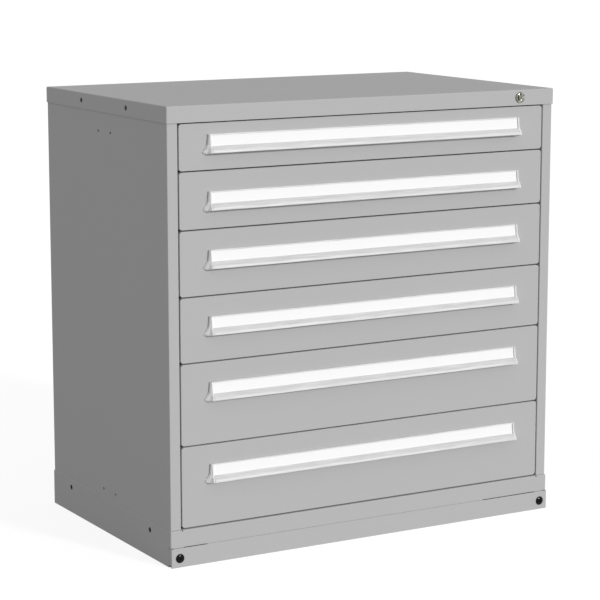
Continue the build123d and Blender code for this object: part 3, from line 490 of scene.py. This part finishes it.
def nickel_with_painted_reflections(name, dark, light, roughness):
    """Nickel with a fine brushed grain and painted reflections: light and dark wedges in the
    colour, by the angle round the lock's axis.
    """
    material, place = finish(name, Metallic=1.0)
    off_axis = place.vector("SUBTRACT", (lock_x, 0.0, lock_z)).scaled((1.0, 0.0, 1.0))
    outward = off_axis.vector("NORMALIZE")
    # Painted reflections: light and dark wedges set by the angle round the axis, put into the
    # colour.
    painted_reflection_wedges = outward.scaled((REFLECTION_WEDGE_SCALE, 1.0, REFLECTION_WEDGE_SCALE)).noise(1.0, 3.0, 0.6)
    grain = place.noise(BRUSH_SCALE, 3.0)
    tone = (painted_reflection_wedges - 0.5) * REFLECTION_WEDGE_CONTRAST + 0.5 + (grain - 0.5) * BRUSH_SHARE
    tone = tone.math("MAXIMUM", 0.0).math("MINIMUM", 1.0)
    surface(
        material, tone.between(dark, light), grain.between(*roughness),
        grain.bump(FINE_RELIEF, METAL_BUMP),
    )
    return material


bezel_nickel = nickel_with_painted_reflections("satin_nickel_painted_reflections", BEZEL_REFLECTION_DARK, BEZEL_REFLECTION_LIGHT, BEZEL_ROUGHNESS)
bezel.data.materials.append(bezel_nickel)
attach(bezel, "cabinet")
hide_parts("lock_barrel")
plug_nickel = nickel_with_painted_reflections("brushed_nickel_painted_reflections", PLUG_REFLECTION_DARK, PLUG_REFLECTION_LIGHT, PLUG_ROUGHNESS)
coat(["lock_plug"], plug_nickel)

# Floor: a pale studio floor that keeps the soft shadow of the cabinet. The camera and reflections
# see it close to white, and to all else it is a plain pale floor. Under the cabinet it has no glow
# of its own, so that no light leaks up through the seams.
FLOOR_HALF = 30.0
FLOOR_COLOUR = (0.3, 0.3, 0.3, 1.0)
FLOOR_GLOW = 0.83
FLOOR_FILL = 0.15
EDGE_MARGIN = 0.004
FRONT_MARGIN = 0.006
WHITE = (1.0, 1.0, 1.0, 1.0)


def looked_at(tree):
    """1 for the camera's rays and those of reflections and glass, and 0 for light on its way."""
    blank = Socket(tree)
    seen = blank.node("ShaderNodeLightPath", {}, out="Is Camera Ray")
    seen = seen.either(blank.node("ShaderNodeLightPath", {}, out="Is Glossy Ray"))
    return seen.either(blank.node("ShaderNodeLightPath", {}, out="Is Transmission Ray"))


floor_form = bmesh.new()
bmesh.ops.create_grid(floor_form, x_segments=1, y_segments=1, size=FLOOR_HALF)
floor_mesh = bpy.data.meshes.new("studio_floor")
floor_form.to_mesh(floor_mesh)
floor_form.free()
floor = bpy.data.objects.new("studio_floor", floor_mesh)
bpy.context.scene.collection.objects.link(floor)
pale_floor = bpy.data.materials.new("pale_floor")
pale_floor.use_nodes = True
pale_floor.node_tree.nodes.clear()
floor_place = Socket(pale_floor.node_tree).node("ShaderNodeTexCoord", {}, out="Object")
floor_x = floor_place.node("ShaderNodeSeparateXYZ", {}, floor_place, out="X")
floor_y = floor_place.node("ShaderNodeSeparateXYZ", {}, floor_place, out="Y")
foot_lo, foot_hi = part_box("base")
beside = abs(floor_x) > foot_hi[0] - EDGE_MARGIN
behind = floor_y > foot_hi[1] - EDGE_MARGIN
ahead = floor_y < foot_lo[1] + FRONT_MARGIN
outside = beside.either(behind).either(ahead)
floor_light = looked_at(pale_floor.node_tree).between(FLOOR_FILL, FLOOR_GLOW) * outside
matt = floor_place.node("ShaderNodeBsdfDiffuse", {}, FLOOR_COLOUR)
glow = floor_place.node("ShaderNodeEmission", {}, WHITE, floor_light)
floor_shader = floor_place.node("ShaderNodeAddShader", {}, matt, glow)
floor_shader.node("ShaderNodeOutputMaterial", {}, floor_shader)
floor_mesh.materials.append(pale_floor)

# Light: the world is a plain white studio round the cabinet, and one soft key stands low in front
# of it, a little to the right, so that the front is brightest, then the top, then the side.
SKY_STRENGTH = 0.472
KEY_STRENGTH = 1.91
KEY_SPREAD = math.radians(7.0)
KEY_DIRECTION = Vector((0.2, -0.555, 0.175))
world = bpy.data.worlds.new("studio")
bpy.context.scene.world = world
world.use_nodes = True
world.node_tree.nodes.clear()
sky_light = looked_at(world.node_tree).between(SKY_STRENGTH, 1.0)
sky = sky_light.node("ShaderNodeBackground", {}, WHITE, sky_light)
sky.node("ShaderNodeOutputWorld", {}, sky)
key_light = bpy.data.lights.new("key", "SUN")
key_light.energy = KEY_STRENGTH
key_light.angle = KEY_SPREAD
key = bpy.data.objects.new("key", key_light)
key.rotation_euler = KEY_DIRECTION.to_track_quat("Z", "Y").to_euler()
bpy.context.scene.collection.objects.link(key)

# Camera: a long lens in front of the left corner, a little above the top cover.
CAMERA_PLACE = (-2.9050, -5.0457, 1.5962)
CAMERA_YAW = math.radians(29.92)
CAMERA_PITCH = math.radians(9.97)
CAMERA_LENS = 131.42
CAMERA_SENSOR = 36.0
camera_data = bpy.data.cameras.new("camera")
camera_data.sensor_fit = "HORIZONTAL"
camera_data.sensor_width = CAMERA_SENSOR
camera_data.lens = CAMERA_LENS
camera = bpy.data.objects.new("camera", camera_data)
camera.location = CAMERA_PLACE
camera.rotation_euler = (math.pi / 2 - CAMERA_PITCH, 0.0, -CAMERA_YAW)
bpy.context.scene.collection.objects.link(camera)
bpy.context.scene.camera = camera
bpy.context.scene.view_settings.view_transform = "Standard"
